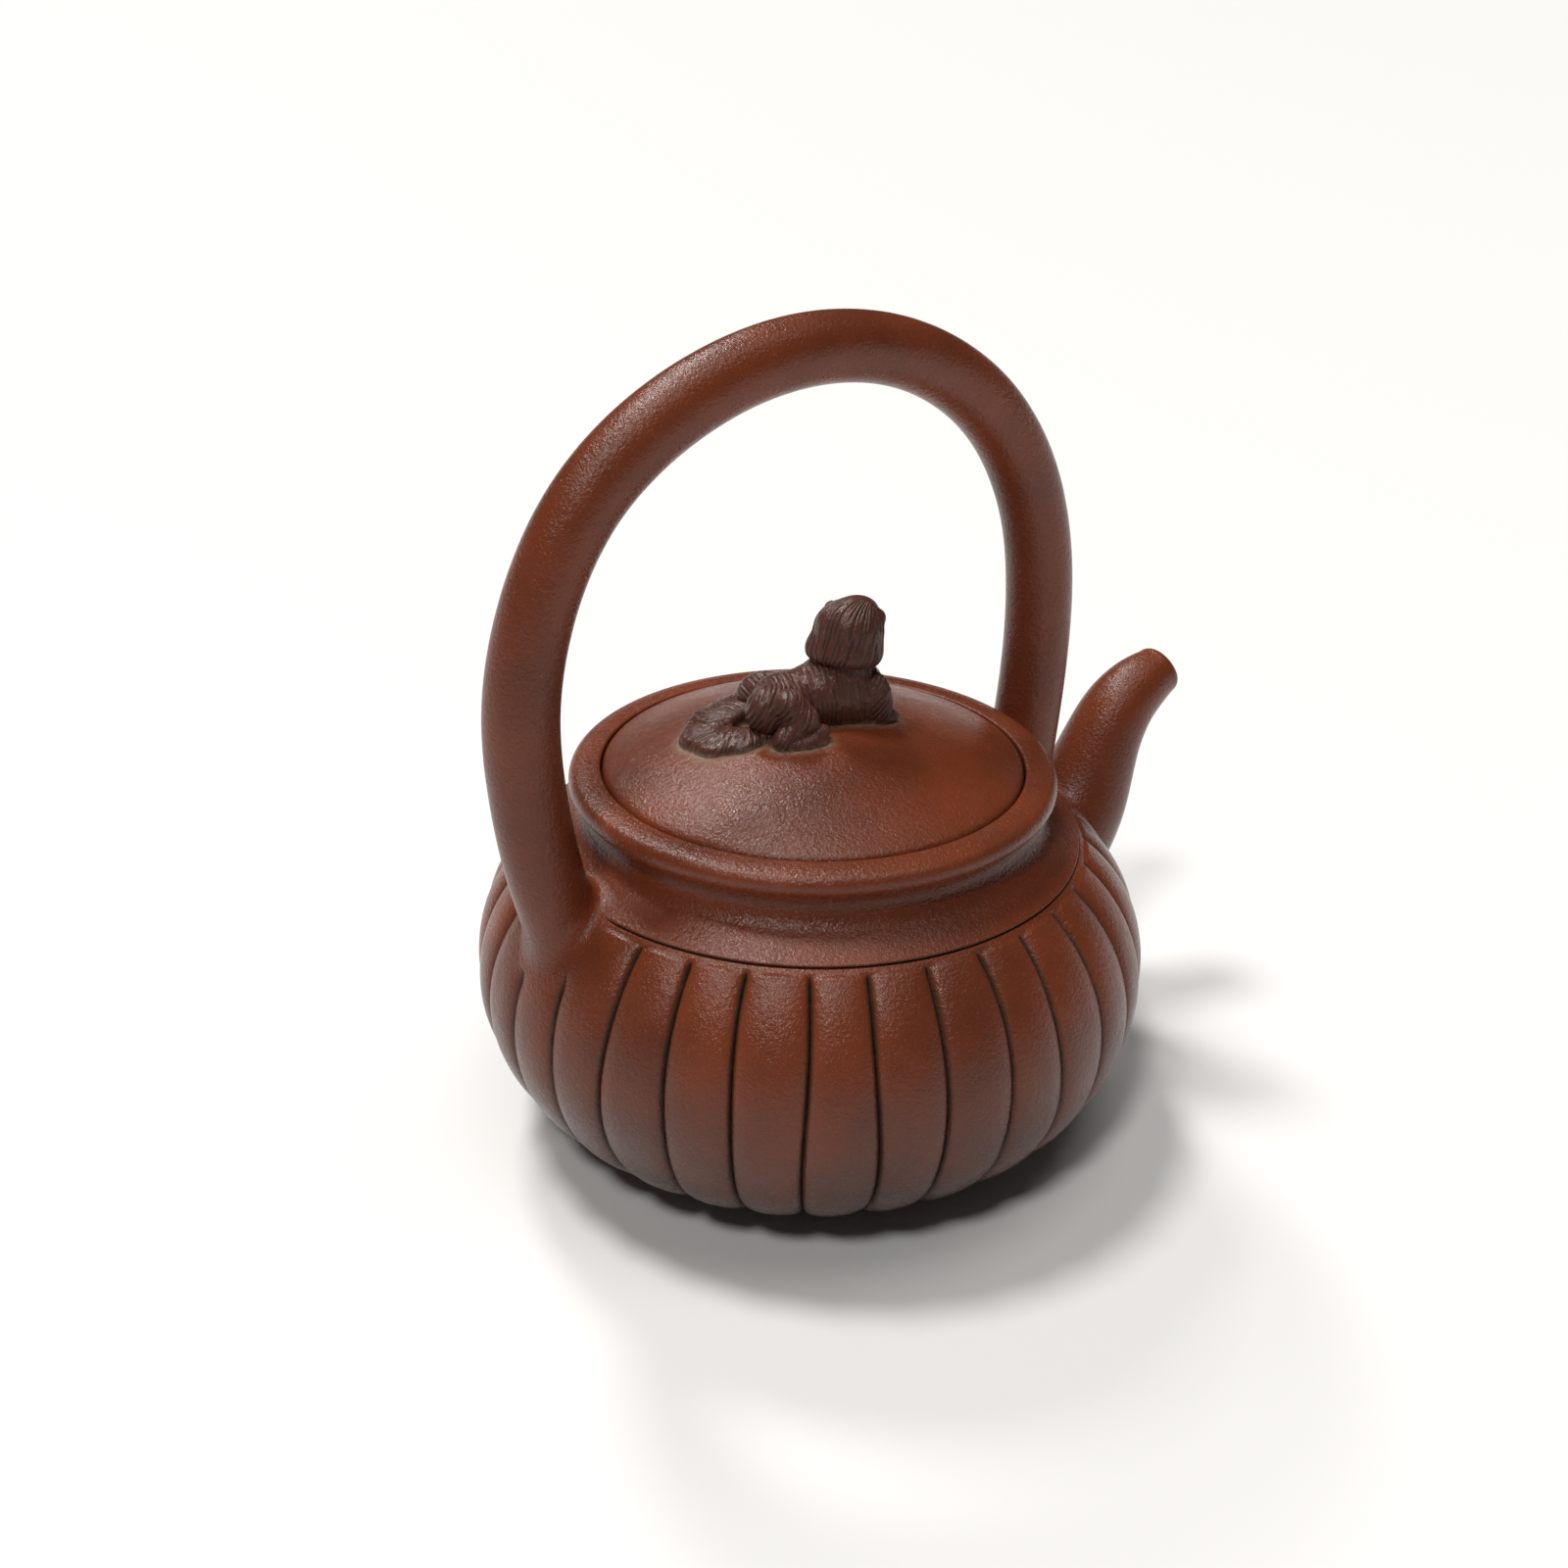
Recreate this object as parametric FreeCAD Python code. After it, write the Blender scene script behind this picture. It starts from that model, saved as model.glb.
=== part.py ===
import FreeCAD
import Part
import math
import os

from FreeCAD import Vector

# Yixing clay teapot: ribbed round body, overhead roll handle, curved spout, inset domed lid with a
# reclining lion as its knob. Millimetres, origin at the middle of the foot's resting face, +Z up,
# +X towards the spout. Every piece is one lump of clay that the potter makes and lutes on.

# Body: its wall is a quarter-round roll turned about Z, so its section is an arc about a ring.
WALL = 3.5
BELLY_RING_R = 35.6
BELLY_ROUND = 34.4
BELLY_Z = 35.2
BASE_R = 44.0
FOOT_INNER_R = 38.0
RING_LINE_Z = 63.5
RING_LINE_DEPTH = 0.5

# Ribs: grooves cut along meridians, fading out round the handle's feet and the spout's root.
RIB_COUNT = 32
RIB_PHASE = -2.25
RIB_GROOVE_R = 1.2
RIB_GROOVE_SINK = 0.15
RIB_TOP_ANGLE = 50.0
RIB_BOTTOM_ANGLE = -80.0
SMOOTH_ROUND_SPOUT = 18.5
SMOOTH_ROUND_FOOT = 14.5

# Shoulder, neck and mouth.
SHOULDER_TOP_Z = 68.6
NECK_TOP_Z = 73.0
NECK_R = 46.0
MOUTH_R = 42.6
RIM_TOP_Z = 78.7
RIM_OUTER_R = 49.6
RIM_ROUND_Z = 76.0
SEAT_Z = 75.6
SEAT_INNER_R = 38.6
SEAT_DEPTH = 4.0
WELL_R = 43.1

# Lid.
LID_R = 42.75
LID_GAP = 0.1
LID_RISE = 9.5
LID_WALL = 3.4
FLANGE_R = 38.2
FLANGE_WALL = 3.2
FLANGE_DEPTH = 12.0
VENT_R = 1.3
VENT_X = 13.0
VENT_Y = 11.0

# Handle: centre line in the XZ plane from the rear foot over the top to the foot behind the spout.
HANDLE_LINE = (
    (-57.5, 55.0), (-61.6, 71.2), (-64.2, 88.0), (-64.6, 104.0), (-60.9, 121.5), (-50.0, 141.0),
    (-30.5, 155.2), (-4.0, 161.9), (21.0, 158.0), (41.5, 144.8), (54.8, 123.5), (59.2, 98.0),
    (58.5, 78.0), (56.0, 55.0),
)
HANDLE_LEG_R = 7.4
HANDLE_TOP_R = 6.7
HANDLE_SECTIONS = 29
REAR_FOOT = (-59.0, 60.0)
FRONT_FOOT = (57.0, 60.0)
FOOT_COLLAR_R = 11.5

# Spout: centre line in the XZ plane with its outer radius at each point; the mouth is cut aslant.
SPOUT_LINE = (
    (60.0, 32.5, 13.8), (70.0, 40.5, 12.9), (76.4, 48.4, 11.3), (80.2, 56.4, 9.7), (83.0, 63.0, 8.7),
    (87.0, 69.0, 8.0), (93.0, 73.4, 7.0), (98.8, 75.8, 5.7), (103.5, 77.0, 5.0),
)
SPOUT_WALL = 2.0
SPOUT_CUT = (100.2, 76.2)
SPOUT_CUT_RISE = 25.0
ROOT_COLLAR_R = 20.0
COLLAR_LIFT = 3.0
COLLAR_REACH = 16.0
STRAINER_R = 8.6
STRAINER_HOLE_R = 1.25
STRAINER_PITCH = 3.9
SPOUT_ROOT_ANGLE = 11.5

# Lion knob, in its own frame: x forward, y to its left, z above the rim's plane.
LION_TURN = -15.0
HEAD = (7.0, 0.0, 26.4)
HEAD_TURN = 45.0
TAIL_LINE = (
    (-8.0, 7.2, 9.6), (-13.5, 8.6, 8.6), (-19.4, 7.2, 6.6), (-23.2, 2.4, 5.2), (-21.8, -2.6, 5.2),
    (-17.5, -4.9, 6.4), (-12.2, -4.9, 8.0),
)
TAIL_RADII = (3.2, 3.7, 3.8, 3.9, 3.7, 3.3, 2.4)


def revolve(outline):
    """A solid of revolution about Z from a closed wire's edges in the XZ plane."""
    face = Part.Face(Part.Wire(Part.__sortEdges__(outline)))
    return face.revolve(Vector(0, 0, 0), Vector(0, 0, 1), 360)


def xz(x, z):
    return Vector(x, 0, z)


def line(start, end):
    return Part.makeLine(xz(*start), xz(*end))


def arc(start, middle, end):
    return Part.Arc(xz(*start), xz(*middle), xz(*end)).toShape()


def polyline(*points):
    return [line(a, b) for a, b in zip(points, points[1:])]


def belly(angle, inset=0.0):
    """Point of the belly's section at an angle above the widest place, inset into the wall."""
    turn = math.radians(angle)
    reach = BELLY_ROUND - inset
    return BELLY_RING_R + reach * math.cos(turn), BELLY_Z + reach * math.sin(turn)


def angle_at_z(height, inset=0.0):
    return math.degrees(math.asin((height - BELLY_Z) / (BELLY_ROUND - inset)))


def angle_at_base(inset=0.0):
    return -math.degrees(math.acos((BASE_R - BELLY_RING_R) / (BELLY_ROUND - inset)))


def belly_arc(low, high, inset=0.0):
    return arc(belly(low, inset), belly((low + high) / 2, inset), belly(high, inset))


def shoulder_edges():
    """Outside of the shoulder and neck: a slope that runs into a hollow under the rim."""
    start = belly(angle_at_z(RING_LINE_Z))
    slope_end = (49.4, 66.6)
    return [
        line(start, slope_end),
        arc(slope_end, (47.4, 67.7), (46.4, SHOULDER_TOP_Z)),
        arc((46.4, SHOULDER_TOP_Z), (NECK_R - 0.1, 71.0), (46.5, NECK_TOP_Z)),
    ]


def smooth_outside():
    """The pot's outside without ribs, as a solid that pieces luted to the pot are cut back by."""
    top = RIM_TOP_Z
    edges = [belly_arc(angle_at_base(), angle_at_z(RING_LINE_Z))]
    edges += shoulder_edges()
    edges += polyline((46.5, NECK_TOP_Z), (49.0, 74.2), (49.0, top), (0, top))
    edges += polyline((0, top), (0, outer_base_z()), belly(angle_at_base()))
    return revolve(edges)


def outer_base_z():
    return belly(angle_at_base())[1]


def inner_base_z():
    return belly(angle_at_base(WALL), WALL)[1]


def base_disc():
    low = outer_base_z()
    return Part.makeCylinder(BASE_R, inner_base_z() - low, Vector(0, 0, low))


def foot_ring():
    height = outer_base_z()
    outer = Part.makeCylinder(BASE_R - 0.6, height)
    ring = outer.cut(Part.makeCylinder(FOOT_INNER_R, height))
    return ring.makeFillet(0.5, [edge for edge in ring.Edges if edge.BoundBox.ZMax < 0.01])


def wall_shell():
    low_out, high_out = angle_at_base(), angle_at_z(RING_LINE_Z)
    low_in, high_in = angle_at_base(WALL), angle_at_z(RING_LINE_Z, WALL)
    return revolve([
        belly_arc(low_out, high_out),
        line(belly(high_out), belly(high_in, WALL)),
        belly_arc(low_in, high_in, WALL),
        line(belly(low_in, WALL), belly(low_out)),
    ])


def rib_groove(azimuth):
    """A round gouge swept along one meridian of the belly."""
    turn = math.radians(RIB_BOTTOM_ANGLE)
    x, z = belly(RIB_BOTTOM_ANGLE, RIB_GROOVE_SINK)
    along = Vector(-math.sin(turn), 0, math.cos(turn))
    disc = Part.Face(Part.Wire(Part.makeCircle(RIB_GROOVE_R, xz(x, z), along)))
    sweep = RIB_TOP_ANGLE - RIB_BOTTOM_ANGLE
    gouge = disc.revolve(xz(BELLY_RING_R, BELLY_Z), Vector(0, -1, 0), sweep)
    gouge = gouge.fuse(Part.makeSphere(RIB_GROOVE_R, xz(*belly(RIB_TOP_ANGLE, RIB_GROOVE_SINK))))
    gouge.rotate(Vector(0, 0, 0), Vector(0, 0, 1), azimuth)
    return gouge


def smooth_zones():
    """Balls round the spout's root and the handle's feet, where no groove is cut."""
    root = belly(SPOUT_ROOT_ANGLE)
    return [
        Part.makeSphere(SMOOTH_ROUND_SPOUT, xz(*root)),
        Part.makeSphere(SMOOTH_ROUND_FOOT, xz(*REAR_FOOT)),
        Part.makeSphere(SMOOTH_ROUND_FOOT, xz(*FRONT_FOOT)),
    ]


def strainer_plug():
    """Round plug square to the wall at the spout's root, longer than the wall is thick."""
    turn = math.radians(SPOUT_ROOT_ANGLE)
    outward = Vector(math.cos(turn), 0, math.sin(turn))
    start = xz(*belly(SPOUT_ROOT_ANGLE, 2 * WALL))
    return Part.makeCylinder(STRAINER_R, 3 * WALL, start, outward), start, outward


def body_wall():
    wall = wall_shell().cut(strainer_plug()[0])
    zones = smooth_zones()
    step = 360.0 / RIB_COUNT
    grooves = []
    for index in range(RIB_COUNT):
        azimuth = RIB_PHASE + index * step
        near_plane = abs(math.sin(math.radians(azimuth))) < 0.35
        groove = rib_groove(azimuth)
        grooves.append(groove.cut(zones) if near_plane else groove)
    return wall.cut(grooves)


def strainer():
    """Perforated plug flush with both faces of the wall: one hole with two rings of holes round it."""
    plug, start, outward = strainer_plug()
    disc = plug.common(wall_shell())
    across = Vector(0, 1, 0)
    upward = outward.cross(across)
    holes = [(0.0, 0.0)]
    for ring, count in ((1, 6), (1.75, 12)):
        for index in range(count):
            turn = 2 * math.pi * index / count
            holes.append((ring * STRAINER_PITCH * math.cos(turn), ring * STRAINER_PITCH * math.sin(turn)))
    drills = []
    for side, rise in holes:
        place = start + across * side + upward * rise
        drills.append(Part.makeCylinder(STRAINER_HOLE_R, 3 * WALL, place, outward))
    return disc.cut(drills)


def shoulder():
    outer, slope_end = shoulder_edges()[:2]
    low_out = belly(angle_at_z(RING_LINE_Z))
    low_in = belly(angle_at_z(RING_LINE_Z, WALL), WALL)
    top_in = (MOUTH_R, SHOULDER_TOP_Z)
    ring = revolve([outer, slope_end] + polyline((46.4, SHOULDER_TOP_Z), top_in, low_in, low_out))
    line_cut = Part.makeTorus(low_out[0], RING_LINE_DEPTH, xz(0, RING_LINE_Z))
    return ring.cut(line_cut)


def neck():
    hollow = shoulder_edges()[2]
    top_in, low_in = (MOUTH_R, NECK_TOP_Z), (MOUTH_R, SHOULDER_TOP_Z)
    return revolve([hollow] + polyline((46.5, NECK_TOP_Z), top_in, low_in, (46.4, SHOULDER_TOP_Z)))


def mouth_rim():
    """Rounded rim with a well for the lid: the well's floor is the step down to the lid seat."""
    flat_end = (46.6, RIM_TOP_Z)
    outer_mid = (RIM_OUTER_R, RIM_ROUND_Z)
    low_edge = (48.6, 74.0)
    return revolve(
        [arc(flat_end, (48.9, 77.8), outer_mid), arc(outer_mid, (49.4, 74.9), low_edge)]
        + polyline(low_edge, (46.5, NECK_TOP_Z), (MOUTH_R, NECK_TOP_Z), (MOUTH_R, SEAT_Z))
        + polyline((MOUTH_R, SEAT_Z), (WELL_R, SEAT_Z), (WELL_R, RIM_TOP_Z), flat_end)
    )


def lid_seat():
    low = SEAT_Z - SEAT_DEPTH
    tip = (SEAT_INNER_R, SEAT_Z)
    return revolve(polyline(tip, (MOUTH_R, SEAT_Z), (MOUTH_R, low), (SEAT_INNER_R, low + 2.0), tip))


def tube(points, radii):
    """A round roll of clay lofted through circles square to a smooth line in the XZ plane."""
    curve = Part.BSplineCurve()
    curve.interpolate([xz(x, z) for x, z in points])
    count = len(radii)
    rings = []
    for index, radius in enumerate(radii):
        length = curve.length() * index / (count - 1)
        parameter = curve.parameterAtDistance(length, curve.FirstParameter)
        place = curve.value(parameter)
        along = curve.tangent(parameter)[0]
        rings.append(Part.Wire(Part.makeCircle(radius, place, along)))
    return Part.makeLoft(rings, True, False)


def handle_roll():
    radii = []
    for index in range(HANDLE_SECTIONS):
        legs = abs(2.0 * index / (HANDLE_SECTIONS - 1) - 1.0) ** 2
        radii.append(HANDLE_TOP_R + (HANDLE_LEG_R - HANDLE_TOP_R) * legs)
    return tube(HANDLE_LINE, radii)


def spout_tube(inset):
    points = [(x, z) for x, z, radius in SPOUT_LINE]
    curve = Part.BSplineCurve()
    curve.interpolate([xz(x, z) for x, z in points])
    radii = [radius - inset for x, z, radius in SPOUT_LINE]
    rings = []
    for (x, z), radius in zip(points, radii):
        along = curve.tangent(curve.parameter(xz(x, z)))[0]
        rings.append(Part.Wire(Part.makeCircle(radius, xz(x, z), along)))
    return Part.makeLoft(rings, True, False)


def spout(outside):
    """Hollow spout, cut back by the pot's outside at its root and by the slant plane at its mouth."""
    turn = math.radians(SPOUT_CUT_RISE)
    facing = Vector(math.cos(turn), 0, math.sin(turn))
    mouth_cut = Part.makeCylinder(20, 20, xz(*SPOUT_CUT), facing)
    walls = spout_tube(0.0).cut(spout_tube(SPOUT_WALL))
    return walls.cut([outside, mouth_cut])


def root_collar(centre, toward, radius, cutters):
    """Ring of clay smoothed round a root, no thicker than COLLAR_LIFT above the pot's outside."""
    column = Part.makeCylinder(radius, 2 * COLLAR_REACH, centre - toward * COLLAR_REACH, toward)
    skin = Part.makeTorus(BELLY_RING_R, BELLY_ROUND + COLLAR_LIFT, xz(0, BELLY_Z))
    ring = column.common(skin).cut(cutters)
    return max(ring.Solids, key=lambda solid: solid.Volume)


def heading(start, end):
    return (xz(*end) - xz(*start)).normalize()


def cap(radius, height, low):
    """Spherical cap with its rim circle of the given radius at z = low."""
    ball_r = (radius ** 2 + height ** 2) / (2 * height)
    ball = Part.makeSphere(ball_r, xz(0, low + height - ball_r))
    return ball.common(Part.makeCylinder(radius, height + 1, xz(0, low)))


def lid_top_solid():
    return cap(LID_R, LID_RISE, RIM_TOP_Z)


def lid_underside_z():
    return SEAT_Z + LID_GAP


def lid_dome():
    low = lid_underside_z()
    disc = Part.makeCylinder(LID_R, RIM_TOP_Z - low, xz(0, low))
    dome = disc.fuse(lid_top_solid()).removeSplitter()
    hollow_r = FLANGE_R - FLANGE_WALL
    hollow = cap(hollow_r, LID_RISE + RIM_TOP_Z - low - LID_WALL - 1.9, low)
    dome = dome.cut(hollow)
    vent = Part.makeCylinder(VENT_R, 30, Vector(VENT_X, VENT_Y, RIM_TOP_Z - 15))
    return dome.cut(vent)


def lid_flange():
    top = lid_underside_z()
    outer = Part.makeCylinder(FLANGE_R, FLANGE_DEPTH, xz(0, top - FLANGE_DEPTH))
    return outer.cut(Part.makeCylinder(FLANGE_R - FLANGE_WALL, FLANGE_DEPTH, xz(0, top - FLANGE_DEPTH)))


def in_place(shape):
    """From the lion's frame to the pot's."""
    shape.rotate(Vector(0, 0, 0), Vector(0, 0, 1), LION_TURN)
    shape.translate(Vector(0, 0, RIM_TOP_Z))
    return shape


def egg(centre, size, turn=0.0, lean=0.0):
    """Egg-shaped lump of the lion: half-sizes along its own axes, leaned about y, turned about z."""
    stretch = FreeCAD.Matrix()
    stretch.scale(*size)
    shape = Part.makeSphere(1.0).transformGeometry(stretch)
    shape.rotate(Vector(0, 0, 0), Vector(0, 1, 0), lean)
    shape.rotate(Vector(0, 0, 0), Vector(0, 0, 1), turn)
    shape.translate(Vector(*centre))
    return in_place(shape)


def limb(points, radii):
    """Round limb of the lion through the points, with a ball at each and a tapered roll between."""
    lumps = [Part.makeSphere(radius, Vector(*point)) for point, radius in zip(points, radii)]
    for start, end, start_r, end_r in zip(points, points[1:], radii, radii[1:]):
        way = Vector(*end) - Vector(*start)
        lumps.append(Part.makeCone(start_r, end_r, way.Length, Vector(*start), way))
    return in_place(lumps[0].fuse(lumps[1:]))


def on_head(forward, left, up):
    """A place on the head, in the lion's frame: the head looks HEAD_TURN to the lion's left."""
    turn = math.radians(HEAD_TURN)
    x = HEAD[0] + forward * math.cos(turn) - left * math.sin(turn)
    y = HEAD[1] + forward * math.sin(turn) + left * math.cos(turn)
    return x, y, HEAD[2] + up


def lion_lumps():
    """The lion's lumps in the order that they are pressed on: each is cut back by those before it."""
    torso = limb([(-7.0, 0, 13.4), (7.0, 0, 13.8)], [6.2, 6.4])
    near_haunch = egg((-10.4, -3.8, 13.8), (5.6, 4.6, 5.2), turn=10, lean=12)
    near_thigh = limb([(-7.8, -7.0, 15.4), (-5.4, -8.4, 12.8), (-10.0, -9.8, 9.6)], [3.6, 3.1, 2.3])
    lumps = {
        "lion_torso": torso.fuse(egg((9.0, -0.5, 13.2), (6.0, 6.2, 7.0))),
        "lion_neck": limb([(3.0, 0, 15.0), (6.0, 0, 20.5)], [6.6, 5.6]),
        "lion_head": egg(on_head(0, 0, 0.6), (6.6, 7.2, 6.4), turn=HEAD_TURN),
        "lion_mane": egg(on_head(-0.6, 0.6, -3.2), (7.2, 8.0, 5.0), turn=HEAD_TURN),
        "lion_muzzle": egg(on_head(5.8, 0, -1.5), (3.2, 3.4, 3.0), turn=HEAD_TURN),
        "lion_forelock": egg(on_head(1.8, -1.2, 4.6), (3.8, 4.0, 2.8), turn=HEAD_TURN),
        "lion_haunch_near": near_haunch.fuse(near_thigh),
        "lion_haunch_far": egg((-8.0, 6.6, 12.9), (6.0, 4.4, 4.6), turn=-12),
        "lion_hind_paw_near": egg((-6.2, -10.3, 9.1), (5.4, 2.5, 1.8), turn=-8),
        "lion_hind_paw_far": egg((-5.0, 11.6, 9.0), (5.4, 2.7, 2.2), turn=14),
    }
    for side, name in ((-1, "near"), (1, "far")):
        lumps["lion_ear_" + name] = egg(on_head(2.5, 5.6 * side, 2.8), (1.5, 2.2, 2.2), turn=HEAD_TURN)
        upper = egg((11.8, 4.0 * side - 0.4, 13.2), (3.2, 3.0, 6.0), lean=-6)
        paw = egg((14.2, 3.6 * side - 0.4, 9.4), (2.6, 2.3, 1.5))
        lumps["lion_foreleg_" + name] = upper.fuse(paw)
    lumps["lion_tail"] = limb(TAIL_LINE, TAIL_RADII)
    return lumps


def lion(ground):
    """Lumps resting on the lid, with no two of them sharing any space."""
    pieces = {}
    for name, shape in lion_lumps().items():
        cutters = [ground] + [other for other in pieces.values() if other.BoundBox.intersect(shape.BoundBox)]
        rest = shape.cut(cutters)
        pieces[name] = max(rest.Solids, key=lambda solid: solid.Volume)
    return pieces


def pot_pieces():
    outside = smooth_outside()
    roll = handle_roll()
    spout_solid = spout_tube(0.0)
    rear_way = heading(HANDLE_LINE[0], HANDLE_LINE[1])
    rear_foot = root_collar(xz(*REAR_FOOT), rear_way, FOOT_COLLAR_R, [outside, roll])
    front_way = heading(HANDLE_LINE[-1], HANDLE_LINE[-2])
    front_foot = root_collar(xz(*FRONT_FOOT), front_way, FOOT_COLLAR_R, [outside, roll, spout_solid])
    root = belly(SPOUT_ROOT_ANGLE)
    root_way = heading(belly(SPOUT_ROOT_ANGLE, WALL), root)
    spout_root = root_collar(xz(*root), root_way, ROOT_COLLAR_R, [outside, spout_solid, front_foot])
    return {
        "base_disc": base_disc(),
        "foot_ring": foot_ring(),
        "body_wall": body_wall(),
        "spout_strainer": strainer(),
        "shoulder": shoulder(),
        "neck": neck(),
        "mouth_rim": mouth_rim(),
        "lid_seat": lid_seat(),
        "spout": spout(outside),
        "handle": roll.cut(outside),
        "handle_foot_rear": rear_foot,
        "handle_foot_front": front_foot,
        "spout_root": spout_root,
    }


def lid_pieces():
    pieces = {"lid_flange": lid_flange(), "lid_dome": lid_dome()}
    pieces.update(lion(lid_top_solid()))
    return pieces


def main():
    os.makedirs("parts", exist_ok=True)
    for name, shape in {**pot_pieces(), **lid_pieces()}.items():
        if not shape.isValid() or len(shape.Solids) != 1:
            print("check", name, "valid", shape.isValid(), "solids", len(shape.Solids))
        shape.exportStep(os.path.join("parts", name + ".step"))
        box = shape.BoundBox
        print(f"{name:22s} {shape.Volume / 1000:8.2f} ml  z {box.ZMin:7.2f} to {box.ZMax:7.2f}")


main()
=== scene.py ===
import math

import bpy
import numpy as np
from mathutils import Euler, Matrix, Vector


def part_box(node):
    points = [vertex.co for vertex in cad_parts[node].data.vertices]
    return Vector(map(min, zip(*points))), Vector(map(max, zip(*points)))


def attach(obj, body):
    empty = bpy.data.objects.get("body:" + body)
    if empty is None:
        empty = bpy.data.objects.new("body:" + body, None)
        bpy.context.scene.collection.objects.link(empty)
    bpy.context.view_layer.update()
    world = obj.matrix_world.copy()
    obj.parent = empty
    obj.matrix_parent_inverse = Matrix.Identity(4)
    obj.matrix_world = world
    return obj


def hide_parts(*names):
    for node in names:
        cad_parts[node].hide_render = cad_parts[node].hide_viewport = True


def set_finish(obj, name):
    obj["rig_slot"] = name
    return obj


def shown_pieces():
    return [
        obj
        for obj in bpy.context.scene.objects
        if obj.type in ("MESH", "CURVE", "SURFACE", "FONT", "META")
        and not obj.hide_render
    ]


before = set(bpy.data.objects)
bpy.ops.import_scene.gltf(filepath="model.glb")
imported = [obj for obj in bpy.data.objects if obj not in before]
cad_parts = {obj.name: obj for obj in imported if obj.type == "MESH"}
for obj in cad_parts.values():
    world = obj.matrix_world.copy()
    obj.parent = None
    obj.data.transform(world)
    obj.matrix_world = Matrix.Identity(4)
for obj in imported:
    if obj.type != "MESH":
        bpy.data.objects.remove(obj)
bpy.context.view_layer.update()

# Yixing clay teapot. Lengths are in millimetres until a mesh is made, and angles are in degrees.
MM = 0.001


def top_of(node):
    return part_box(node)[1].z / MM


def foot_of(node):
    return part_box(node)[0].z / MM


# The belly's section is an arc about a ring, so its outside is a torus up to the incised ring line.
BELLY_RING_R = 35.6
BELLY_ROUND = 34.4
BELLY_Z = 35.2
WALL = 3.5
BASE_R = 44.0
RING_LINE_Z = foot_of("shoulder")
SHOULDER_TOP_Z = 68.6
NECK_TOP_Z = foot_of("mouth_rim")
RIM_TOP_Z = top_of("mouth_rim")
SEAT_Z = top_of("lid_seat")
SEAT_INNER_R = 38.6
MOUTH_R = 42.6
WELL_R = 43.1
RIM_OUTER_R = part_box("mouth_rim")[1].x / MM

# Ribs, as lobes with a gouged groove between each two.
RIB_COUNT = 32
RIB_PHASE = -2.25
LOBE_DEPTH = 1.8
GROOVE_DEPTH = 0.45
GROOVE_WIDTH = 0.42
BAND_WIDTH = 1.4
BAND_DROP = 0.45
RING_LINE_DEPTH = 0.33

# Handle and spout: centre lines in the XZ plane.
HANDLE_LINE = (
    (-57.5, 55.0), (-61.6, 71.2), (-64.2, 88.0), (-64.6, 104.0), (-60.9, 121.5), (-50.0, 141.0),
    (-30.5, 155.2), (-4.0, 161.9), (21.0, 158.0), (41.5, 144.8), (54.8, 123.5), (59.2, 98.0),
    (58.5, 78.0), (56.0, 55.0),
)
HANDLE_LEG_R = 7.4
HANDLE_TOP_R = 6.7
SPOUT_LINE = (
    (60.0, 32.5, 13.8), (70.0, 40.5, 12.9), (76.4, 48.4, 11.3), (80.2, 56.4, 9.7), (83.0, 63.0, 8.7),
    (87.0, 69.0, 8.0), (93.0, 73.4, 7.0), (98.8, 75.8, 5.7), (103.5, 77.0, 5.0),
)
SPOUT_WALL = 2.0
SPOUT_CUT = (100.2, 76.2)
SPOUT_CUT_RISE = 25.0
SPOUT_LIP = 2.0

# Lid.
LID_R = 42.75
LID_RISE = 9.5
FLANGE_R = 38.2
FLANGE_WALL = 3.2

# Lion knob: which way it lies, where its head is and how far that is turned to its left.
LION_TURN = -15.0
HEAD = (7.0, 0.0, 26.4)
HEAD_TURN = 45.0
HEAD_STROKES = 42

# What lies in the cuts, and the pale dust round the lion.
RESIDUE_COLOUR = (0.034, 0.021, 0.014)
DUST_COLOUR = (0.25, 0.19, 0.13)
# Painted shade with a painted grey floor reflection, laid on the lower belly.
PAINTED_SHADE_AND_SHEEN_COLOUR = (0.046, 0.031, 0.025)
LIGHT_COLOUR = (1.0, 0.98, 0.95)
POT_LIGHT = (0.176, 0.038, 0.0135)
POT_DARK = (0.120, 0.028, 0.0110)
POT_GLOSS = 0.265
KNOB_LIGHT = (0.100, 0.034, 0.022)
KNOB_DARK = (0.068, 0.025, 0.017)
KNOB_GLOSS = 0.29
CLAY_SPECULAR = 0.34

# Painted shade with a painted grey floor reflection: the belly's lower part darkens and greys from the first
# height down to the second. These two heights are in metres.
PAINTED_SHADE_TOP = 0.048
PAINTED_SHADE_BOTTOM = 0.010

# Stage, in metres, and lamps: name, azimuth, elevation, how wide it looks, power.
WORLD_STRENGTH = 0.04
FLOOR_WHITE = 0.82
FLOOR_ROUGHNESS = 0.7
FLOOR_REACH = 30
LAMPS = (
    ("overhead", 122, 70, 13, 1.7),
    ("back_left", 80, 50, 10, 1.1),
    ("front_left", -147, 56, 9, 1.05),
    ("top", -50, 80, 30, 0.6),
)

# Camera: where it stands as seen from the middle of the lid, and how it is turned from looking there.
CAMERA_AZIMUTH = -126.0
CAMERA_ELEVATION = 25.581
CAMERA_DISTANCE = 362.74
CAMERA_PAN = 0.931
CAMERA_TILT = -0.824
CAMERA_ROLL = 1.2275
CAMERA_LENS = 40.904


# ---------------------------------------------------------------- small helpers

def smoothstep(low, high, value):
    t = np.clip((value - low) / (high - low), 0.0, 1.0)
    return t * t * (3.0 - 2.0 * t)


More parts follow.
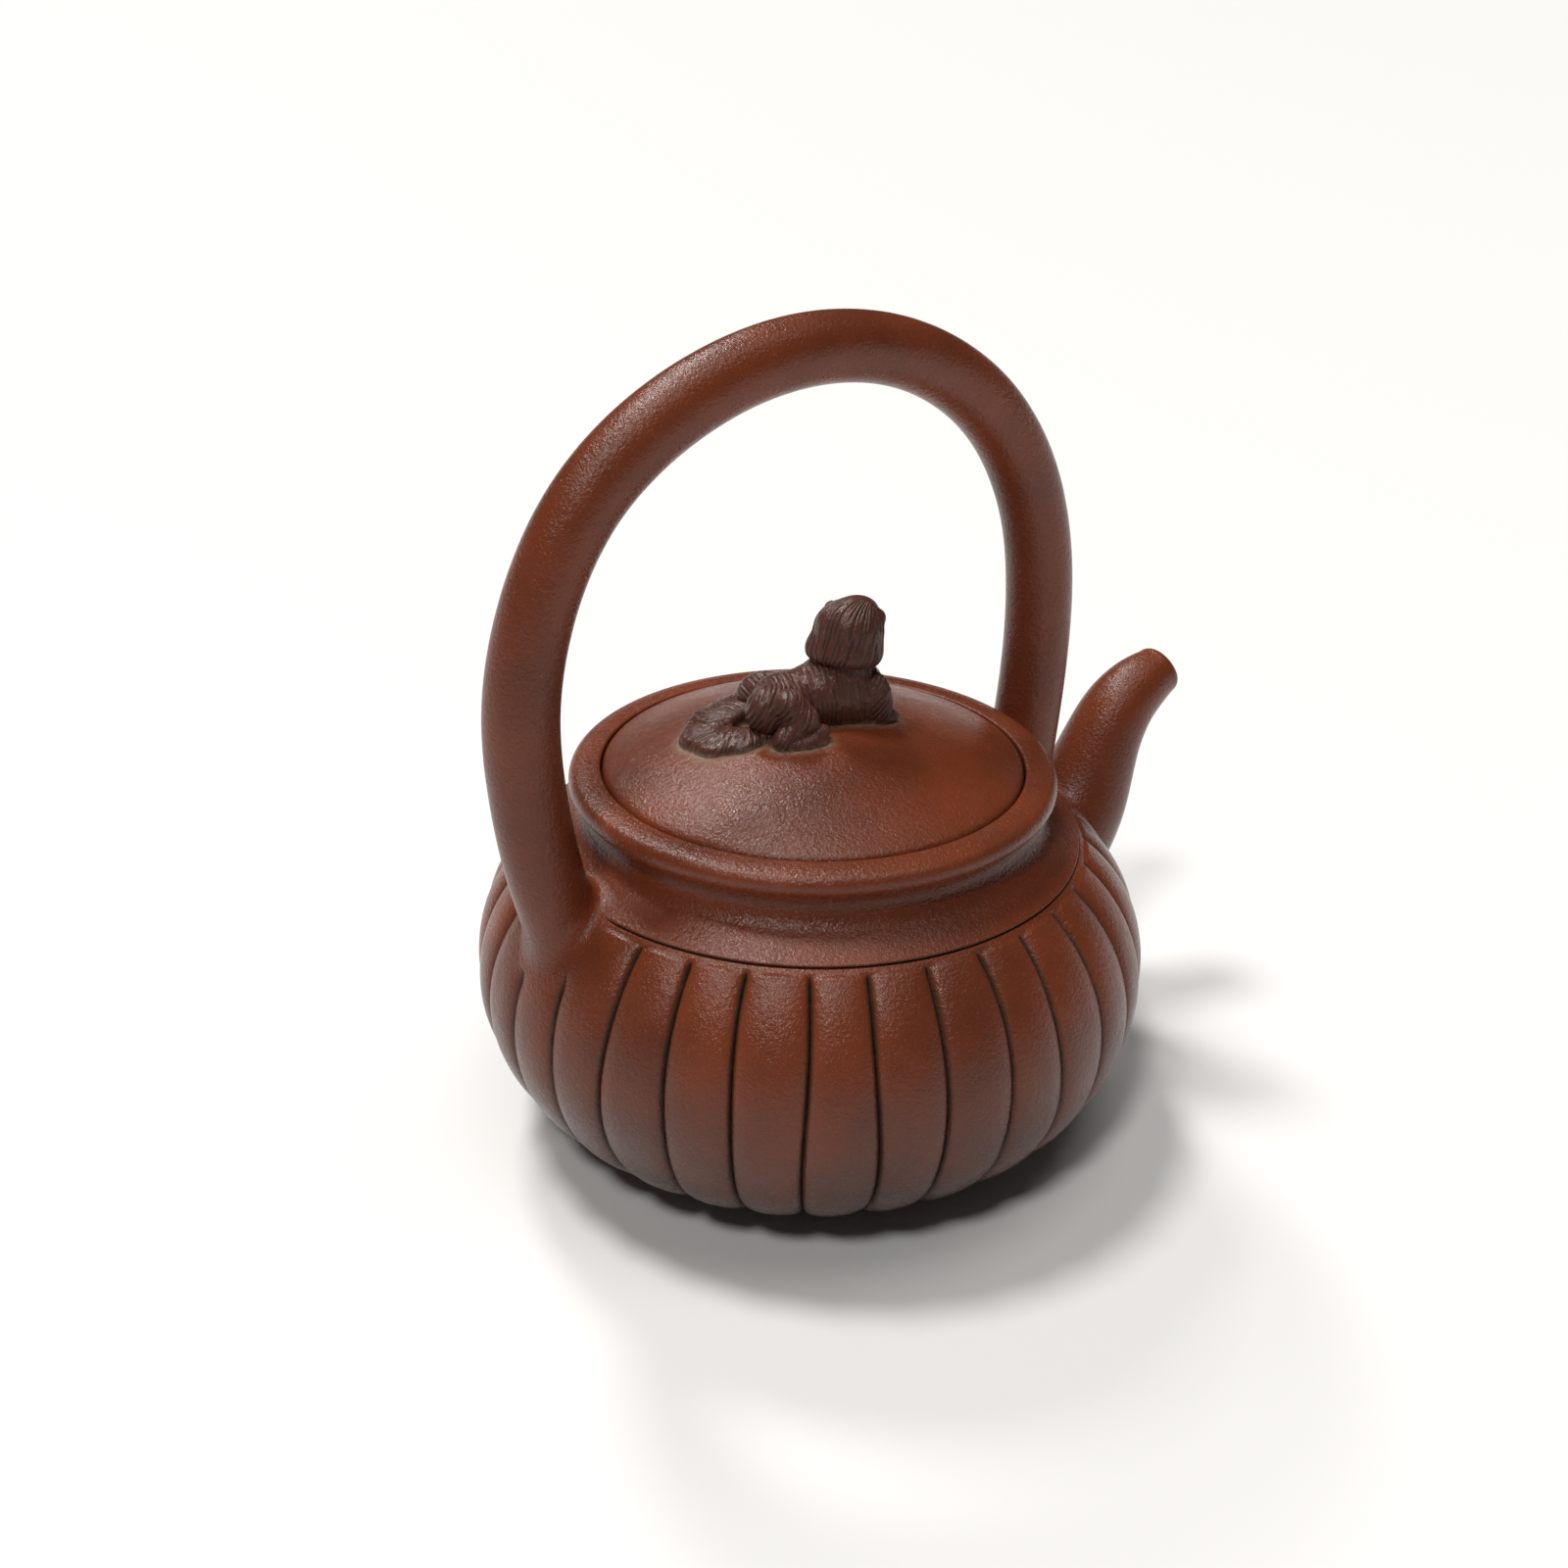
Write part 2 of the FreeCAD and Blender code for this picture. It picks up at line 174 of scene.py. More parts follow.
def wave(place, seed, octaves=3):
    """Smooth repeatable unevenness of about unit size: a few sine waves with fixed odd directions."""
    total = np.zeros(place.shape[:-1])
    for octave in range(octaves):
        for turn in range(3):
            angle = seed * 1.7 + octave * 2.3 + turn * 2.1
            direction = np.array([math.cos(angle), math.sin(angle * 1.3), math.cos(angle * 0.7 + 1.0)])
            total += np.sin(place @ direction * 1.9 ** octave + angle * 5.0) / 1.7 ** octave
    return total / 4.0


def grid_faces(rows, columns, wrap_rows=True):
    """Quads of a grid whose columns close on themselves, and whose rows do too unless told."""
    row, column = np.meshgrid(np.arange(rows if wrap_rows else rows - 1), np.arange(columns), indexing="ij")
    below, right = (row + 1) % rows, (column + 1) % columns
    here, beyond = row * columns, below * columns
    corners = (here + column, here + right, beyond + right, beyond + column)
    return np.stack(corners, axis=-1).reshape(-1, 4)


def make_piece(name, points, faces, body, slot, nodes=(), fields=None, sharp=42.0):
    """A smooth-shaded mesh from points in millimetres that rides on a body and stands for CAD nodes."""
    mesh = bpy.data.meshes.new(name)
    mesh.from_pydata((np.asarray(points) * MM).tolist(), [], [list(face) for face in faces])
    for field, values in (fields or {}).items():
        layer = mesh.attributes.new(field, "FLOAT", "POINT")
        layer.data.foreach_set("value", np.asarray(values, np.float32).ravel())
    mesh.shade_smooth()
    mesh.set_sharp_from_angle(angle=math.radians(sharp))
    piece = bpy.data.objects.new(name, mesh)
    bpy.context.scene.collection.objects.link(piece)
    face_outward(mesh)
    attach(piece, body)
    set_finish(piece, slot)
    if nodes:
        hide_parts(*nodes)
    return piece


def face_outward(mesh):
    """Turns every face of a closed mesh to look outward."""
    points = np.zeros(len(mesh.vertices) * 3)
    mesh.vertices.foreach_get("co", points)
    points = points.reshape(-1, 3)
    mesh.calc_loop_triangles()
    corners = np.zeros(len(mesh.loop_triangles) * 3, int)
    mesh.loop_triangles.foreach_get("vertices", corners)
    a, b, c = points[corners.reshape(-1, 3)].transpose(1, 0, 2)
    if np.einsum("ij,ij->i", a, np.cross(b, c)).sum() < 0:
        mesh.flip_normals()


def revolve(outline, azimuths):
    """Points of an (r, z) outline turned about Z: rows follow the outline and columns the azimuths."""
    outline = np.asarray(outline, float)
    r = np.repeat(outline[:, :1], len(azimuths), axis=1)
    z = np.repeat(outline[:, 1:], len(azimuths), axis=1)
    turn = np.radians(np.broadcast_to(azimuths, r.shape))
    return np.stack([r * np.cos(turn), r * np.sin(turn), z], axis=-1)


def arc(centre, radius, start, end, count):
    angles = np.radians(np.linspace(start, end, count))
    return [(centre[0] + radius * math.cos(a), centre[1] + radius * math.sin(a)) for a in angles]


def run(start, end, count):
    return [tuple(p) for p in np.linspace(start, end, count + 1)[1:-1]]


def spline(points, parameters, at):
    """Natural cubic through points at parameters, and its slope, evaluated at the given values."""
    points = np.asarray(points, float)
    t = np.asarray(parameters, float)
    gap = np.diff(t)
    count = len(t)
    system = np.zeros((count, count))
    right = np.zeros((count, points.shape[1]))
    system[0, 0] = system[-1, -1] = 1.0
    for i in range(1, count - 1):
        system[i, i - 1:i + 2] = gap[i - 1], 2 * (gap[i - 1] + gap[i]), gap[i]
        right[i] = 6 * ((points[i + 1] - points[i]) / gap[i] - (points[i] - points[i - 1]) / gap[i - 1])
    bend = np.linalg.solve(system, right)
    span = np.clip(np.searchsorted(t, at, side="right") - 1, 0, count - 2)
    before = (at - t[span])[:, None]
    after = (t[span + 1] - at)[:, None]
    h = gap[span][:, None]
    start, end, m0, m1 = points[span], points[span + 1], bend[span], bend[span + 1]
    value = m0 * after ** 3 / (6 * h) + m1 * before ** 3 / (6 * h)
    value += (start / h - m0 * h / 6) * after + (end / h - m1 * h / 6) * before
    slope = -m0 * after ** 2 / (2 * h) + m1 * before ** 2 / (2 * h) + (end - start) / h - (m1 - m0) * h / 6
    return value, slope


def chord_lengths(points):
    steps = np.linalg.norm(np.diff(np.asarray(points, float), axis=0), axis=1)
    return np.concatenate([[0.0], np.cumsum(steps)])


# ---------------------------------------------------------------- the pot's outside

def outside_distance(place):
    """How far a place is outside the smooth belly, which the feet and the spout stand on."""
    reach = np.hypot(place[..., 0], place[..., 1]) - BELLY_RING_R
    return np.hypot(reach, place[..., 2] - BELLY_Z) - BELLY_ROUND


def outside_normal(place):
    turn = np.arctan2(place[..., 1], place[..., 0])
    ring_z = np.full(turn.shape, BELLY_Z)
    ring = np.stack([BELLY_RING_R * np.cos(turn), BELLY_RING_R * np.sin(turn), ring_z], -1)
    out = place - ring
    return out / np.linalg.norm(out, axis=-1, keepdims=True)


def on_outside(place):
    return place - outside_normal(place) * outside_distance(place)[..., None]


REAR_FOOT = on_outside(np.array([-59.5, 0.0, 60.0]))
FRONT_FOOT = on_outside(np.array([57.5, 0.0, 60.0]))
SPOUT_ROOT = on_outside(np.array([69.5, 0.0, 42.5]))


def worked_smooth(place):
    """0 where the potter smoothed clay round the feet and the spout, rising to 1 on the open belly."""
    clear = np.ones(place.shape[:-1])
    for centre, near, far in ((REAR_FOOT, 10.0, 15.0), (FRONT_FOOT, 10.0, 15.0), (SPOUT_ROOT, 17.0, 22.0)):
        gap = np.linalg.norm(place - centre, axis=-1)
        clear = clear * smoothstep(near, far, gap)
    return clear


def rib_azimuths(per_rib):
    """Azimuth columns crowded near each groove's middle."""
    even = np.linspace(-1.0, 1.0, per_rib, endpoint=False)
    crowded = np.sign(even) * np.abs(even) ** 2.1
    step = 360.0 / RIB_COUNT
    return np.concatenate([RIB_PHASE + index * step + crowded * step / 2 for index in range(RIB_COUNT)])


def body_wall():
    low = -math.degrees(math.acos((BASE_R - BELLY_RING_R) / BELLY_ROUND))
    high = math.degrees(math.asin((RING_LINE_Z - BELLY_Z) / BELLY_ROUND))
    degree = math.degrees(1.0 / BELLY_ROUND)
    stops = (low, high - 5.0 * degree, high - 0.8 * degree, high)
    angles = np.concatenate([
        np.linspace(stops[0], stops[1], 88, endpoint=False),
        np.linspace(stops[1], stops[2], 20, endpoint=False),
        np.linspace(stops[2], stops[3], 11),
    ])
    azimuths = rib_azimuths(22)
    step = 360.0 / RIB_COUNT
    turn = np.radians(angles)[:, None]
    section_r = BELLY_RING_R + BELLY_ROUND * np.cos(turn)
    section_z = BELLY_Z + BELLY_ROUND * np.sin(turn)
    nearest = np.round((azimuths - RIB_PHASE) / step)
    aside = azimuths - RIB_PHASE - nearest * step
    wander = 0.35 * np.sin(nearest * 2.4 + turn * 2.2) + 0.2 * np.sin(nearest * 4.1 + turn * 4.3 + 1.0)
    bearing = np.radians(azimuths + wander * (1 - np.abs(aside) / step))
    place = np.stack([section_r * np.cos(bearing), section_r * np.sin(bearing), section_z + 0 * bearing], -1)
    clear = worked_smooth(place)
    below_ring = np.radians(high - angles)[:, None] * BELLY_ROUND
    share = 1 - np.abs(aside) / (step / 2)
    open_rib = clear * smoothstep(BAND_WIDTH - 0.5, BAND_WIDTH + 1.6, below_ring)
    distance = np.abs(np.radians(aside)) * section_r
    thickness = section_r / (BELLY_RING_R + BELLY_ROUND)
    lobe = -LOBE_DEPTH * thickness * (1 - np.sqrt(1 - share ** 2.5))
    bank = 1.0 + 0.3 * np.sin(nearest * 1.9 + turn * 1.5) * np.sign(aside)
    gouge = np.exp(-(distance / (GROOVE_WIDTH * bank)) ** 2)
    uneven = 1.0 + 0.18 * np.sin(nearest * 5.3 + turn * 7.0) + 0.1 * np.sin(nearest * 2.2 + turn * 17.0)
    lift = open_rib * (lobe - GROOVE_DEPTH * uneven * gouge)
    arched = below_ring - 0.7 * share ** 2
    lift = lift - clear * BAND_DROP * (1 - smoothstep(BAND_WIDTH - 0.4, BAND_WIDTH + 0.9, arched))
    ring_line = clear * np.exp(-(below_ring / 0.2) ** 2)
    lift = lift - RING_LINE_DEPTH * ring_line
    lift = lift + 0.10 * wave(place / 9.0, 1.0)
    outer = place + outside_normal(place) * lift[..., None]
    residue = np.maximum(open_rib * np.exp(-(distance / (GROOVE_WIDTH * 1.5)) ** 2), 0.35 * ring_line)
    low_in = -math.degrees(math.acos((BASE_R - BELLY_RING_R) / (BELLY_ROUND - WALL)))
    high_in = math.degrees(math.asin((RING_LINE_Z - BELLY_Z) / (BELLY_ROUND - WALL)))
    inner = revolve(arc((BELLY_RING_R, BELLY_Z), BELLY_ROUND - WALL, high_in, low_in, 22), azimuths)
    points = np.concatenate([outer, inner]).reshape(-1, 3)
    field = np.concatenate([residue, np.zeros(inner.shape[:2])])
    faces = grid_faces(len(angles) + len(inner), len(azimuths))
    return make_piece(
        "body_wall_ribbed", points, faces, "pot", "pot_clay", ["body_wall"], {"residue": field}
    )


def ring_piece(name, outline, body, slot, nodes, columns=288, unevenness=0.05, fields=None):
    """A closed outline turned about Z, with a slight hand-made unevenness."""
    azimuths = np.arange(columns) * 360.0 / columns
    points = revolve(outline, azimuths)
    points[..., :2] *= (1 + unevenness * wave(points / 14.0, 4.0) / 45.0)[..., None]
    faces = grid_faces(len(outline), columns)
    return make_piece(name, points.reshape(-1, 3), faces, body, slot, nodes, fields)


def shoulder():
    start_r = BELLY_RING_R + math.sqrt(BELLY_ROUND ** 2 - (RING_LINE_Z - BELLY_Z) ** 2)
    inner_r = BELLY_RING_R + math.sqrt((BELLY_ROUND - WALL) ** 2 - (RING_LINE_Z - BELLY_Z) ** 2)
    columns = 512
    azimuths = np.arange(columns) * 360.0 / columns
    slope = [tuple(p) for p in (np.array([start_r, RING_LINE_Z]) + np.linspace(0.04, 1, 36)[:-1, None] ** 1.6
                                * np.array([49.4 - start_r, 66.5 - RING_LINE_Z]))]
    cove = arc((51.62, 71.37), 5.35, 245.5, 208.0, 12)
    outer = np.array([(start_r, RING_LINE_Z)] + slope + cove)
    points = revolve(outer, azimuths)
    along = chord_lengths(outer)[:, None]
    ring_line = worked_smooth(points) * np.exp(-(along / 0.2) ** 2)
    points[..., 2] -= 0.55 * RING_LINE_DEPTH * ring_line
    points[..., :2] *= (1 - 0.8 * RING_LINE_DEPTH * ring_line / start_r)[..., None]
    points[..., 2] += 0.06 * wave(points / 12.0, 2.0) * smoothstep(0, 2, along)
    inner = [(MOUTH_R, outer[-1][1])] + run((MOUTH_R, outer[-1][1]), (inner_r, RING_LINE_Z), 6)
    inner.append((inner_r, RING_LINE_Z - 0.2))
    inside = revolve(inner, azimuths)
    everything = np.concatenate([points, inside])
    field = np.concatenate([ring_line, np.zeros(inside.shape[:2])])
    faces = grid_faces(len(everything), columns)
    return make_piece(
        "shoulder_ring", everything.reshape(-1, 3), faces,
        "pot", "pot_clay", ["shoulder"], {"residue": field}
    )


def neck_and_rim():
    low = SHOULDER_TOP_Z + 0.26
    hollow = [(46.9, low), (46.5, low + 0.7), (46.25, low + 1.5), (46.2, low + 2.4), (46.35, low + 3.3)]
    hollow.append((46.7, NECK_TOP_Z))
    inner = [(MOUTH_R, NECK_TOP_Z)] + run((MOUTH_R, NECK_TOP_Z), (MOUTH_R, low), 4) + [(MOUTH_R, low)]
    ring_piece("neck_ring", hollow + inner, "pot", "pot_clay", ["neck"])
    under = [(46.7, NECK_TOP_Z), (47.2, NECK_TOP_Z + 0.55), (47.9, NECK_TOP_Z + 0.85)]
    nose_r = 2.35
    nose = arc((RIM_OUTER_R - nose_r, RIM_TOP_Z - nose_r - 0.25), nose_r, -78, 72, 26)
    top = [(46.2, RIM_TOP_Z - 0.02), (45.4, RIM_TOP_Z), (44.4, RIM_TOP_Z)]
    edge = arc((WELL_R + 0.5, RIM_TOP_Z - 0.5), 0.5, 90, 180, 7)
    well = [(WELL_R, SEAT_Z), (MOUTH_R, SEAT_Z), (MOUTH_R, NECK_TOP_Z)]
    rim_section = under + nose + top + edge + well
    ring_piece("mouth_rim_rounded", rim_section, "pot", "pot_clay", ["mouth_rim"], columns=384)


def lid_seat():
    low, high = foot_of("lid_seat"), SEAT_Z
    outline = arc((SEAT_INNER_R + 0.6, high - 0.6), 0.6, 180, 90, 6) + [(MOUTH_R, high), (MOUTH_R, low)]
    outline += [(SEAT_INNER_R + 2.4, low + 1.1), (SEAT_INNER_R + 0.5, low + 2.0)]
    ring_piece("lid_seat_ledge", outline, "pot", "pot_clay", ["lid_seat"])


# ---------------------------------------------------------------- handle and spout

def tube_frames(line, count):
    """Even stations along a line in the XZ plane: places, directions and in-plane normals."""
    flat = np.asarray(line, float)[:, :2]
    lengths = chord_lengths(flat)
    fine, slope = spline(flat, lengths, np.linspace(0, lengths[-1], 1500))
    walked = chord_lengths(fine)
    even = np.linspace(0, walked[-1], count)
    place = np.stack([np.interp(even, walked, fine[:, axis]) for axis in (0, 1)], -1)
    slope = np.stack([np.interp(even, walked, slope[:, axis]) for axis in (0, 1)], -1)
    slope /= np.linalg.norm(slope, axis=1, keepdims=True)
    zero = np.zeros(count)
    centre = np.stack([place[:, 0], zero, place[:, 1]], -1)
    along = np.stack([slope[:, 0], zero, slope[:, 1]], -1)
    across = np.stack([-slope[:, 1], zero, slope[:, 0]], -1)
    return centre, along, across, even / walked[-1]


def skin(centre, across, radius, sides, flat=1.0):
    """Rings of points square to a line: radius along the in-plane normal, times flat along Y."""
    turn = np.arange(sides) * 2 * np.pi / sides
    ring = across[:, None, :] * np.cos(turn)[None, :, None]
    ring = ring + np.array([0.0, 1.0, 0.0]) * (flat * np.sin(turn))[None, :, None]
    return centre[:, None, :] + ring * np.asarray(radius).reshape(len(centre), -1, 1), ring


def handle():
    """Roll of clay with a rolled unevenness: closed by two middle points inside the pot's wall."""
    count, sides = 420, 80
    centre, along, across, share = tube_frames(HANDLE_LINE, count)
    radius = HANDLE_TOP_R + (HANDLE_LEG_R - HANDLE_TOP_R) * np.abs(2 * share - 1) ** 2
    points, ring = skin(centre, across, radius, sides)
    points += ring * (0.14 * wave(points / 17.0, 3.0))[..., None]
    keep = outside_distance(centre) > -9.0
    points, centre = points[keep], centre[keep]
    sunk = outside_distance(points)
    low = np.clip(-1.2 - sunk, 0, None)[..., None] * outside_normal(points)
    points = points + low
    ends = [points[0].mean(0), points[-1].mean(0)]
    faces = grid_faces(len(points), sides, wrap_rows=False).tolist()
    first, last = len(points) * sides, len(points) * sides + 1
    top = (len(points) - 1) * sides
    faces += [[first, (i + 1) % sides, i] for i in range(sides)]
    faces += [[last, top + i, top + (i + 1) % sides] for i in range(sides)]
    make_piece("handle_roll", np.vstack([points.reshape(-1, 3), ends]), faces, "pot", "pot_clay", ["handle"])


def spout_rings(inset, count):
    """Spout skin whose sections swing round to lie in the mouth's slant plane at the tip."""
    centre, along, across, share = tube_frames(SPOUT_LINE, count)
    lengths = chord_lengths(np.asarray(SPOUT_LINE)[:, :2])
    radii = np.asarray(SPOUT_LINE)[:, 2]
    radius = np.interp(share, lengths / lengths[-1], radii) - inset
    radius = np.convolve(np.pad(radius, 6, mode="edge"), np.ones(13) / 13, mode="valid")
    cut = math.radians(SPOUT_CUT_RISE)
    facing = np.array([math.cos(cut), 0.0, math.sin(cut)])
    ahead = (np.array([SPOUT_CUT[0], 0, SPOUT_CUT[1]]) - centre) @ facing
    used = ahead > SPOUT_LIP
    last = np.where(used)[0].max()
    swing = smoothstep(0.72, 1.0, np.arange(count) / last)[:, None]
    normal = along * (1 - swing) + facing * swing
    normal /= np.linalg.norm(normal, axis=1, keepdims=True)
    tilted = np.stack([-normal[:, 2], np.zeros(count), normal[:, 0]], -1)
    tilted = tilted / np.abs(np.einsum("ij,ij->i", tilted, across))[:, None]
    return centre[:last + 1], tilted[:last + 1], radius[:last + 1], facing


def spout():
    """Outer skin, rounded lip and bore in one closed skin; the root end lies inside the wall."""
    sides = 112
    centre, across, radius, facing = spout_rings(0.0, 170)
    outer, ring = skin(centre, across, radius, sides)
    outer += ring * (0.08 * wave(outer / 11.0, 6.0))[..., None]
    bore, bore_ring = skin(centre, across, radius - SPOUT_WALL, sides)
    lip = []
    for angle in np.linspace(10, 90, 9):
        share = 0.68 * (1 - math.cos(math.radians(angle)))
        between = outer[-1] * (1 - share) + bore[-1] * share
        lip.append(between + facing * SPOUT_LIP * math.sin(math.radians(angle)))
    for share, rise in ((0.85, 0.97), (0.95, 0.88), (1.0, 0.7)):
        lip.append(outer[-1] * (1 - share) + bore[-1] * share + facing * SPOUT_LIP * rise)
    keep = outside_distance(centre) > -12.0
    outer, bore = outer[keep], bore[keep]
    for rows, depth in ((outer, 1.2), (bore, 0.4)):
        sunk = outside_distance(rows)
        rows += np.clip(-depth - sunk, 0, None)[..., None] * outside_normal(rows)
    points = np.concatenate([outer, np.array(lip), bore[::-1]])
    faces = grid_faces(len(points), sides)
    make_piece("spout_tube", points.reshape(-1, 3), faces, "pot", "pot_clay", ["spout"])


def smoothed_root(name, node, line, start_share, radius_at, lift, spread):
    """Clay smoothed from a tube on to the pot: curves that leave the tube and meet the pot tangentially."""
    sides, rows = 144, 26
    centre, along, across, share = tube_frames(line, 1200)
    radius = radius_at(share)
    if start_share > 0.5:
        centre, along, across, radius = centre[::-1], -along[::-1], across[::-1], radius[::-1]
    points, ring = skin(centre, across, radius, sides)
    gap = outside_distance(points)
    half = len(points) // 2
    turn = np.arange(sides)
    upper = np.array([np.argmax(gap[:half, i] > lift) for i in turn])
    crossing = np.array([np.argmax(gap[:half, i] > 0.0) for i in turn])
    top, corner = points[upper, turn], points[crossing, turn]
    down = corner - top
    reach = np.linalg.norm(down, axis=1, keepdims=True)
    normal = outside_normal(corner)
    outward = ring[crossing, turn]
    outward = outward - normal * np.einsum("ij,ij->i", outward, normal)[:, None]
    outward /= np.linalg.norm(outward, axis=1, keepdims=True)
    width = spread(outward)[:, None] if callable(spread) else spread
    end = on_outside(corner + outward * width)
    end_slope = outward - outside_normal(end) * np.einsum("ij,ij->i", outward, outside_normal(end))[:, None]
    end_slope /= np.linalg.norm(end_slope, axis=1, keepdims=True)
    leave = top - along[upper] * reach * 0.62
    arrive = end - end_slope * width * 0.66
    t = np.linspace(0, 1, rows)[:, None, None]
    curve = top * (1 - t) ** 3 + 3 * leave * t * (1 - t) ** 2 + 3 * arrive * t ** 2 * (1 - t) + end * t ** 3
    tucked_top = top + along[upper] * 0.5 - ring[upper, turn] * 0.12
    tucked_end = end + end_slope * 0.5 - outside_normal(end) * 0.15
    inside = corner - normal * 1.4 - outward * 1.5
    points = np.concatenate([tucked_top[None], curve, tucked_end[None], inside[None]])
    faces = grid_faces(len(points), sides)
    make_piece(name, points.reshape(-1, 3), faces, "pot", "pot_clay", [node], sharp=60.0)


def handle_radius(share):
    return HANDLE_TOP_R + (HANDLE_LEG_R - HANDLE_TOP_R) * np.abs(2 * share - 1) ** 2


def spout_radius(share):
    lengths = chord_lengths(np.asarray(SPOUT_LINE)[:, :2])
    return np.interp(share, lengths / lengths[-1], np.asarray(SPOUT_LINE)[:, 2])


def roots():
    def rear_spread(outward):
        return 3.4 - 0.2 * outward[:, 0]

    def front_spread(outward):
        return 3.6 - 1.0 * outward[:, 0]

    def spout_spread(outward):
        return 5.0 - 1.4 * outward[:, 2]

    smoothed_root(
        "handle_foot_rear_blend", "handle_foot_rear", HANDLE_LINE, 0.0, handle_radius, 3.6, rear_spread
    )
    smoothed_root(
        "handle_foot_front_blend", "handle_foot_front", HANDLE_LINE, 1.0, handle_radius, 4.2, front_spread
    )
    smoothed_root("spout_root_blend", "spout_root", SPOUT_LINE, 0.0, spout_radius, 5.5, spout_spread)


# ---------------------------------------------------------------- lid

def dome_height(radius):
    ball_r = (LID_R ** 2 + LID_RISE ** 2) / (2 * LID_RISE)
    return RIM_TOP_Z + LID_RISE - ball_r + np.sqrt(ball_r ** 2 - np.square(radius))


def lid_dome():
    """Domed disc with a rounded edge, hollowed underneath, closed at both poles."""
    columns = 384
    azimuths = np.arange(columns) * 360.0 / columns
    under = foot_of("lid_dome")
    top = [(r, dome_height(r)) for r in np.linspace(0.6, LID_R - 1.3, 90)]
    edge_top = dome_height(LID_R - 1.3)
    edge = [(LID_R - 0.75, edge_top - 0.32), (LID_R - 0.33, edge_top - 0.66), (LID_R - 0.08, edge_top - 1.1)]
    edge += [(LID_R, edge_top - 1.6), (LID_R, under + 0.3), (LID_R - 0.3, under)]
    bottom = [(r, under) for r in np.linspace(LID_R - 1.5, FLANGE_R - FLANGE_WALL, 6)]
    hollow_rise = 6.6
    inner_r = FLANGE_R - FLANGE_WALL
    ball_r = (inner_r ** 2 + hollow_rise ** 2) / (2 * hollow_rise)
    hollow = []
    for r in np.linspace(inner_r - 0.2, 0.6, 30):
        hollow.append((r, under + hollow_rise - ball_r + math.sqrt(ball_r ** 2 - r ** 2)))
    outline = top + edge + bottom + hollow
    points = revolve(outline, azimuths)
    inward = smoothstep(LID_R, LID_R - 4, np.hypot(points[..., 0], points[..., 1]))
    points[..., 2] += 0.05 * wave(points / 13.0, 5.0) * inward
    flat = points.reshape(-1, 3)
    poles = [[0, 0, points[0, :, 2].mean() + 0.01], [0, 0, points[-1, :, 2].mean()]]
    faces = grid_faces(len(outline), columns, wrap_rows=False).tolist()
    first, last = len(flat), len(flat) + 1
    low = (len(outline) - 1) * columns
    faces += [[first, (i + 1) % columns, i] for i in range(columns)]
    faces += [[last, low + i, low + (i + 1) % columns] for i in range(columns)]
    everything = np.vstack([flat, poles])
    by_lion = from_part(everything)
    gap = np.minimum(body_shape(by_lion), tail_shape(by_lion))
    dust = 0.85 * np.exp(-(np.maximum(gap, 0) / 1.2) ** 2) * (everything[:, 2] > RIM_TOP_Z)
    make_piece("lid_dome_turned", everything, faces, "lid", "pot_clay", ["lid_dome"], {"dust": dust})


def lid_flange():
    low, high = foot_of("lid_flange"), top_of("lid_flange")
    inner = FLANGE_R - FLANGE_WALL
    outline = arc((FLANGE_R - 0.8, low + 0.8), 0.8, 0, -90, 7)
    outline = outline + arc((inner + 0.8, low + 0.8), 0.8, -90, -180, 7)
    outline += [(inner, high), (FLANGE_R, high)]
    ring_piece("lid_flange_ring", outline, "lid_ring", "pot_clay", ["lid_flange"])


# ---------------------------------------------------------------- lion knob
# The lion is carved in its own frame: x forward, y to its left, z above the rim's plane, in millimetres.

def turned(place, centre, turn, lean=0.0):
    q = place - np.array(centre, float)
    c, s = math.cos(math.radians(turn)), math.sin(math.radians(turn))
    x, y, z = q[..., 0] * c + q[..., 1] * s, -q[..., 0] * s + q[..., 1] * c, q[..., 2]
    c, s = math.cos(math.radians(lean)), math.sin(math.radians(lean))
    return np.stack([x * c - z * s, y, x * s + z * c], -1)


def egg(place, centre, size, turn=0.0, lean=0.0):
    """Rough distance to an ellipsoid with half-sizes size."""
    size = np.array(size, float)
    q = turned(place, centre, turn, lean) / size
    near, slope = np.linalg.norm(q, axis=-1), np.linalg.norm(q / size, axis=-1)
    return near * (near - 1) / np.maximum(slope, 1e-6)


def limb(place, start, end, start_r, end_r):
    """Distance to a tapered roll with round ends."""
    start, way = np.array(start, float), np.array(end, float) - np.array(start, float)
    share = np.clip(((place - start) @ way) / (way @ way), 0, 1)
    away = np.linalg.norm(place - start - share[..., None] * way, axis=-1)
    return away - (start_r + (end_r - start_r) * share)


def join(a, b, blend):
    """Union of two distances with clay smoothed into the corner."""
    share = np.clip(0.5 + 0.5 * (b - a) / blend, 0, 1)
    return b + (a - b) * share - blend * share * (1 - share)


def meet(a, b, edge):
    """Overlap of two distances with its edge rounded."""
    over = np.hypot(np.maximum(a + edge, 0), np.maximum(b + edge, 0))
    return np.minimum(np.maximum(a + edge, b + edge), 0) + over - edge


def lid_height(place):
    return dome_height(np.hypot(place[..., 0], place[..., 1]).clip(0, LID_R)) - RIM_TOP_Z


TAIL_LINE = (
    (-8.0, 6.4), (-13.5, 7.6), (-18.8, 6.4), (-22.4, 2.2), (-21.2, -2.4), (-17.3, -4.6), (-12.2, -4.6),
)
TAIL_HALF = (4.0, 4.7, 4.9, 4.7, 4.2, 3.7, 2.8)
TAIL_TALL = (4.4, 4.0, 3.4, 2.7, 2.4, 2.4, 2.4)


